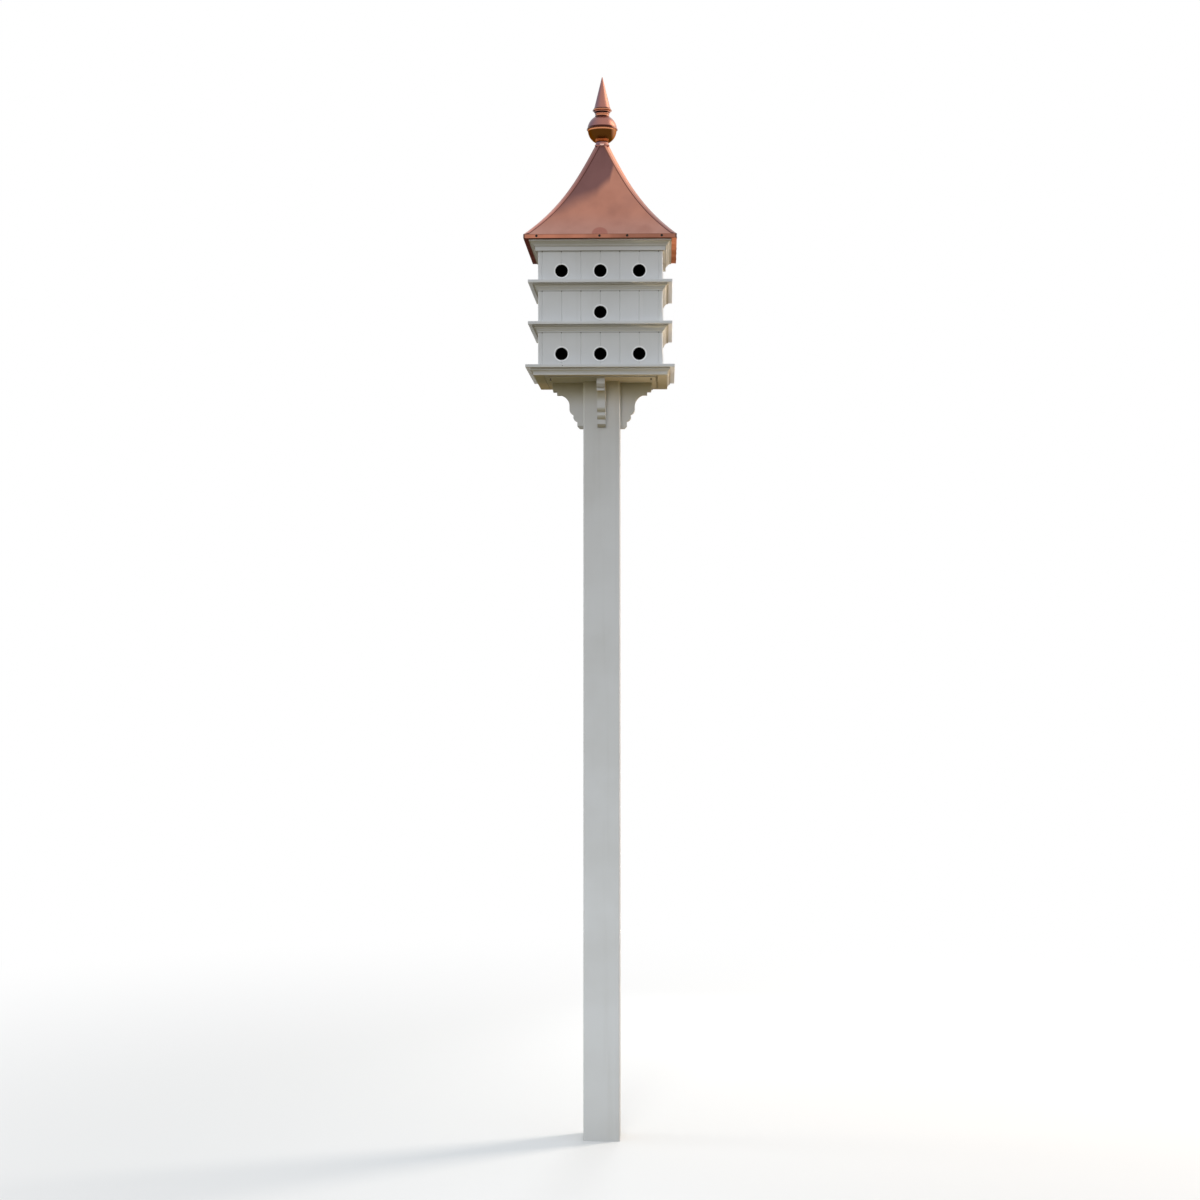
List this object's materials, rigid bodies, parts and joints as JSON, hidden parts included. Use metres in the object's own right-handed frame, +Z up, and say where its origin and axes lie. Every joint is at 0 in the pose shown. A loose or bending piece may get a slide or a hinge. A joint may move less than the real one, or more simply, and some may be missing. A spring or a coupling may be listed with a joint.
{
  "type": "purple martin birdhouse on a post",
  "caption": "Storeyed birdhouse for martins: white grooved walls with round entrances, ledges between storeys, flared copper roof with ball finial, on a sleeved post with scrolled brackets.",
  "frame": {"origin": "centre of the post's foot, at ground level", "axes": "+Z up, the front with its rows of three, one and three entrances faces -Y, +X to the right"},
  "size_m": [0.7014, 0.7014, 4.9932],
  "materials": {
    "white_board": "satin white cellular vinyl board, routed and glued",
    "post_wood": "rough sawn treated timber",
    "divider_wood": "dark unpainted board",
    "copper_sheet": "bright sheet copper, slightly toned",
    "copper_finial": "polished spun copper"
  },
  "bodies": {
    "root": {"back_bracket": "white_board", "back_roof_sheet": "copper_sheet", "back_wall_1": "white_board", "back_wall_2": "white_board", "back_wall_3": "white_board", "base_frame": "white_board", "base_panel": "white_board", "copper_edge": "copper_sheet", "dividers_1": "divider_wood", "dividers_2": "divider_wood", "dividers_3": "divider_wood", "eave_board": "white_board", "eave_crown": "white_board", "finial_ball_lower": "copper_finial", "finial_ball_upper": "copper_finial", "finial_collar": "copper_finial", "finial_neck": "copper_finial", "finial_spire": "copper_finial", "frieze": "white_board", "front_bracket": "white_board", "front_roof_sheet": "copper_sheet", "front_wall_1": "white_board", "front_wall_2": "white_board", "front_wall_3": "white_board", "hip_strips": "copper_sheet", "ledge_board_high": "white_board", "ledge_board_low": "white_board", "ledge_crown_high": "white_board", "ledge_crown_low": "white_board", "left_bracket": "white_board", "left_roof_sheet": "copper_sheet", "left_wall_1": "white_board", "left_wall_2": "white_board", "left_wall_3": "white_board", "platform_board": "white_board", "platform_crown": "white_board", "post_sleeve": "white_board", "post_timber": "post_wood", "right_bracket": "white_board", "right_roof_sheet": "copper_sheet", "right_wall_1": "white_board", "right_wall_2": "white_board", "right_wall_3": "white_board", "roof_cap": "copper_sheet"}
  },
  "joints": []
}
